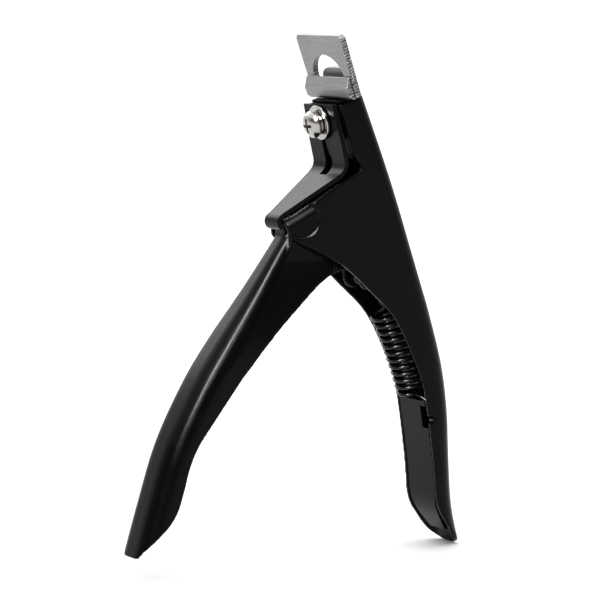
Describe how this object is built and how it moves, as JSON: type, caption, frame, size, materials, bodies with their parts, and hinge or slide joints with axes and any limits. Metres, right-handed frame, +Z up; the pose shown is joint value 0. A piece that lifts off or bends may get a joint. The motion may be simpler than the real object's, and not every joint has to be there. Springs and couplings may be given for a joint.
{
  "type": "guillotine tip clipper",
  "caption": "Hand-held guillotine clipper: squeezing the lever handle pushes a blade up behind a strap across an arched window in the head plate.",
  "frame": {"origin": "centre of the bounding box on the plane under the lower handle tip", "axes": "the tool stands upright in the XZ plane as in the picture: +Z up towards the cutting head, +X towards the main handle, +Y across the thickness, away from the viewer"},
  "size_m": [0.0964, 0.0216, 0.1346],
  "materials": {
    "black_paint": "satin black enamel on pressed sheet steel",
    "brushed_steel": "fine ground steel",
    "nickel_plate": "bright nickel plate",
    "dark_steel": "blackened steel"
  },
  "bodies": {
    "frame": {"main_handle": "black_paint", "grip_liner": "black_paint", "bridge_plate": "black_paint", "head_plate": "brushed_steel", "guide_strap": "brushed_steel", "head_rivet_1": "dark_steel", "head_rivet_2": "dark_steel", "adjusting_bracket": "black_paint", "clamp_screw": "nickel_plate", "lock_washer": "nickel_plate", "flat_washer": "nickel_plate", "return_spring": "dark_steel"},
    "lever": {"lever_handle": "black_paint", "drive_pin": "dark_steel", "spring_post": "dark_steel"},
    "carriage": {"blade_carrier": "dark_steel", "blade": "brushed_steel"}
  },
  "joints": [
    {"name": "lever_squeeze", "type": "hinge", "parent": "frame", "child": "lever", "pos_m": [-0.00505, 0, 0.0873], "axis": [0, -1, 0], "range_deg": [0, 18], "stiffness_Nm_per_rad": 0.64, "springref_deg": -9.17, "deforming": ["return_spring"]},
    {"name": "blade_stroke", "type": "slide", "parent": "frame", "child": "carriage", "axis": [-0.3256, 0, 0.9455], "range_m": [0, 0.00788]}
  ],
  "couplings": [
    {"joint": "blade_stroke", "follows": "lever_squeeze", "m_per_rad": 0.0251}
  ]
}
